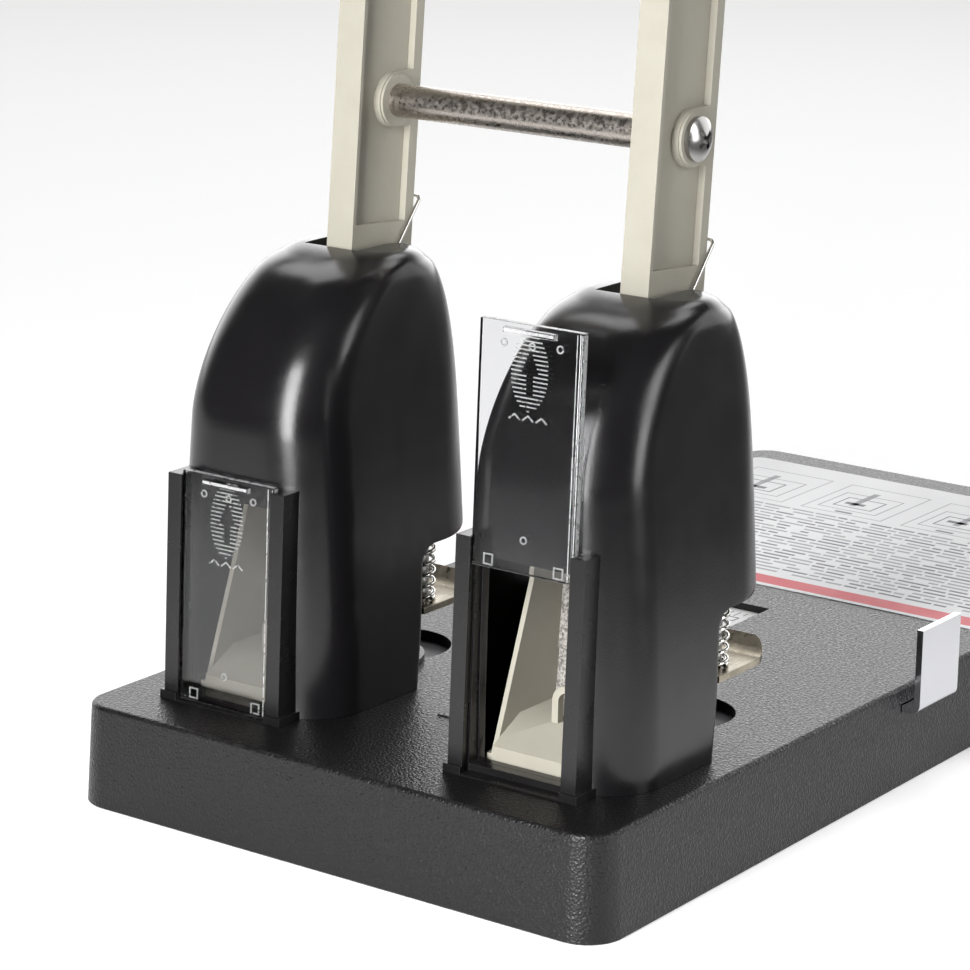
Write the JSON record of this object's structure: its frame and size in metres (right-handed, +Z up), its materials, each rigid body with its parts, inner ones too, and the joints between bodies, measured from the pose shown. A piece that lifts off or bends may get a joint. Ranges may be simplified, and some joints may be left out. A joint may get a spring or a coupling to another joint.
{
  "type": "two-hole punch",
  "caption": "Heavy-duty two-hole paper punch: a long fork lever drives two towers' rams down through a paper throat on a moulded base with a side paper guide.",
  "frame": {"origin": "centre of the base's flat underside, on the table", "axes": "+X right along the two towers, +Y to the rear over the paper bed, +Z up"},
  "size_m": [0.1488, 0.297, 0.3353],
  "materials": {
    "base_plastic": "fine pebble-grained moulded black plastic",
    "tower_plastic": "satin moulded black plastic",
    "guide_plastic": "smooth satin black plastic",
    "clear_plastic": "clear moulded plastic with moulded ribs",
    "cream_paint": "cream paint over die-cast metal",
    "cast_metal": "bare sand-cast metal",
    "plated_steel": "dull nickel-plated steel with fine pitting",
    "spring_steel": "bright plated spring wire",
    "presser_plating": "yellow zinc-plated steel",
    "bit_steel": "ground hardened steel",
    "screw_steel": "bright nickel-plated steel",
    "dark_steel": "blackened steel",
    "disc_plastic": "grey nylon",
    "label_film": "printed white film",
    "scale_film": "white moulded plastic",
    "guide_chrome": "bright chrome-plated steel",
    "grip_rubber": "soft black grip"
  },
  "bodies": {
    "base": {"base_housing": "base_plastic", "bottom_cover": "base_plastic", "base_plate": "dark_steel", "base_screws": "screw_steel", "instruction_label": "label_film", "cutting_disc_left": "disc_plastic", "cutting_disc_right": "disc_plastic", "frame_left": "cream_paint", "frame_right": "cream_paint", "frame_column_left": "cast_metal", "frame_column_right": "cast_metal", "frame_bolts": "dark_steel", "tower_cover_left": "tower_plastic", "tower_cover_right": "tower_plastic", "guide_frame_left": "guide_plastic", "guide_frame_right": "guide_plastic", "pivot_shaft_left": "bit_steel", "pivot_shaft_right": "bit_steel", "pivot_clips": "dark_steel", "guide_keepers": "dark_steel", "scale_strip": "scale_film"},
    "lever": {"lever_arm_left": "cream_paint", "lever_arm_right": "cream_paint", "cross_rod": "plated_steel", "rod_screws": "screw_steel", "handle_bar": "plated_steel", "handle_grip": "grip_rubber", "handle_screws": "screw_steel", "drive_pin_left": "bit_steel", "drive_pin_right": "bit_steel", "torsion_spring_left": "spring_steel", "torsion_spring_right": "spring_steel"},
    "ram_left_body": {"ram_left": "plated_steel", "punch_bit_left": "bit_steel", "bit_screws_left": "dark_steel"},
    "presser_left_body": {"presser_plate_left": "presser_plating", "guide_pins_left": "bit_steel", "presser_springs_left": "spring_steel"},
    "window_left_body": {"chip_window_left": "clear_plastic"},
    "ram_right_body": {"ram_right": "plated_steel", "punch_bit_right": "bit_steel", "bit_screws_right": "dark_steel"},
    "presser_right_body": {"presser_plate_right": "presser_plating", "guide_pins_right": "bit_steel", "presser_springs_right": "spring_steel"},
    "window_right_body": {"chip_window_right": "clear_plastic"},
    "paper_guide_body": {"paper_guide": "guide_chrome"}
  },
  "joints": [
    {"name": "lever_swing", "type": "hinge", "parent": "base", "child": "lever", "pos_m": [0, -0.095, 0.088], "axis": [-1, 0, 0], "range_deg": [0, 80], "stiffness_Nm_per_rad": 1, "springref_deg": -34.38},
    {"name": "ram_left_slide", "type": "slide", "parent": "base", "child": "ram_left_body", "axis": [0, 0, -1], "range_m": [0, 0.02]},
    {"name": "presser_left_slide", "type": "slide", "parent": "base", "child": "presser_left_body", "axis": [0, 0, -1], "range_m": [0, 0.015], "deforming": ["presser_springs_left"]},
    {"name": "ram_right_slide", "type": "slide", "parent": "base", "child": "ram_right_body", "axis": [0, 0, -1], "range_m": [0, 0.02]},
    {"name": "presser_right_slide", "type": "slide", "parent": "base", "child": "presser_right_body", "axis": [0, 0, -1], "range_m": [0, 0.015], "deforming": ["presser_springs_right"]},
    {"name": "window_left_slide", "type": "slide", "parent": "base", "child": "window_left_body", "axis": [0, 0.0401, 0.9992], "range_m": [0, 0.046]},
    {"name": "window_right_slide", "type": "slide", "parent": "base", "child": "window_right_body", "axis": [0, 0.0401, 0.9992], "range_m": [-0.046, 0]},
    {"name": "paper_guide_slide", "type": "slide", "parent": "base", "child": "paper_guide_body", "axis": [1, 0, 0], "range_m": [0, 0.074]}
  ],
  "couplings": [
    {"joint": "ram_left_slide", "follows": "lever_swing", "m_per_rad": 0.014323},
    {"joint": "presser_left_slide", "follows": "lever_swing", "m_per_rad": 0.01074},
    {"joint": "ram_right_slide", "follows": "lever_swing", "m_per_rad": 0.014323},
    {"joint": "presser_right_slide", "follows": "lever_swing", "m_per_rad": 0.01074}
  ]
}
